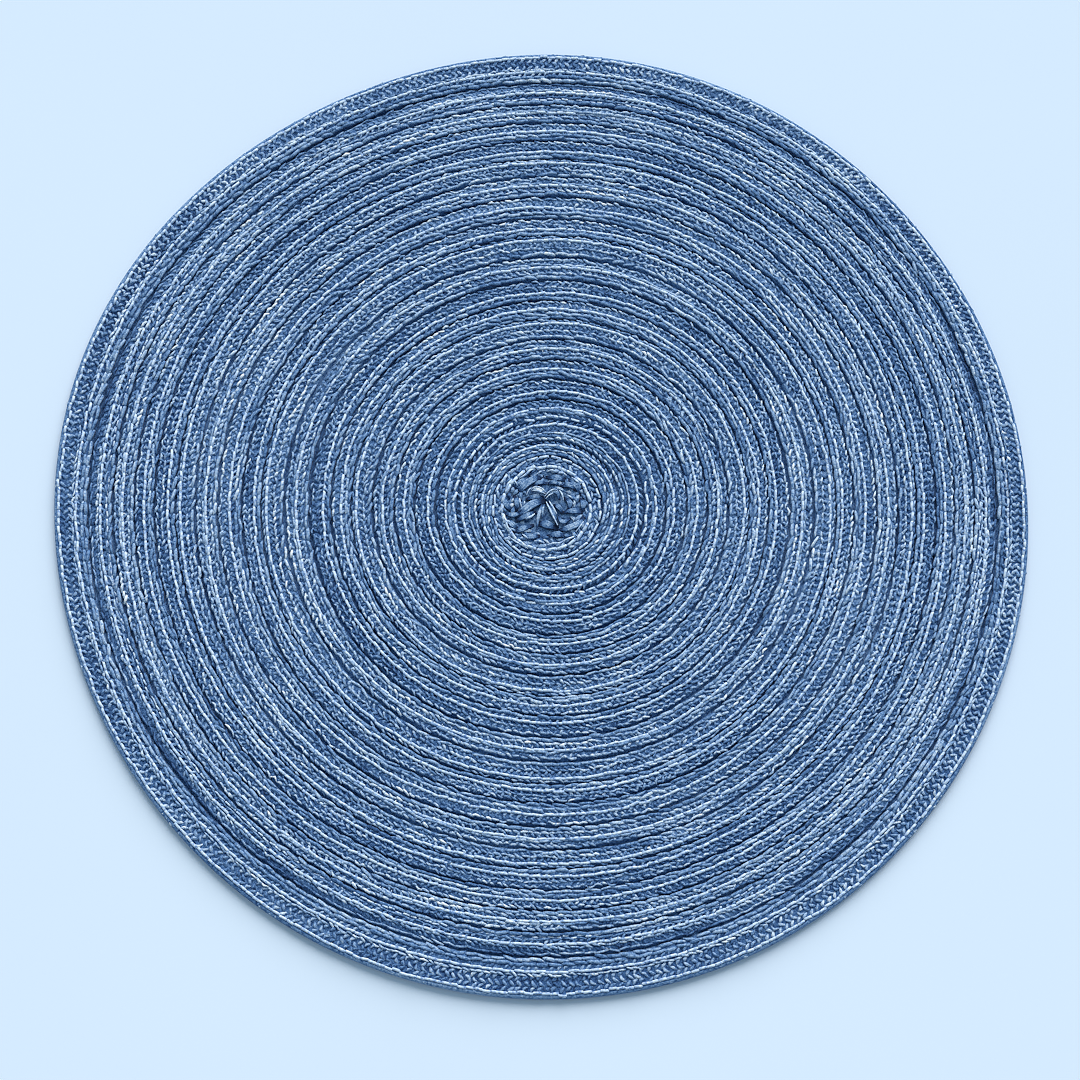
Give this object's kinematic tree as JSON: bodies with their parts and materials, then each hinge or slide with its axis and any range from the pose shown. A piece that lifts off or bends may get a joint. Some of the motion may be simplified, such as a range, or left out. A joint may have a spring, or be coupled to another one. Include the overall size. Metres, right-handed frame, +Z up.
{
  "type": "round braided placemat",
  "caption": "Round flat table mat of a braided melange yarn band laid in stitched rounds, with a folded knot in the middle and a ribbed rim.",
  "frame": {"origin": "centre of the flat underside, on the table", "axes": "+Z up out of the ribbed face; -Y towards the near side of the picture; +X to the picture's right"},
  "size_m": [0.3808, 0.3828, 0.0044],
  "materials": {
    "yarn": "matt blue melange yarn with white stitching"
  },
  "bodies": {
    "root": {"braided_mat": "yarn"}
  },
  "joints": []
}
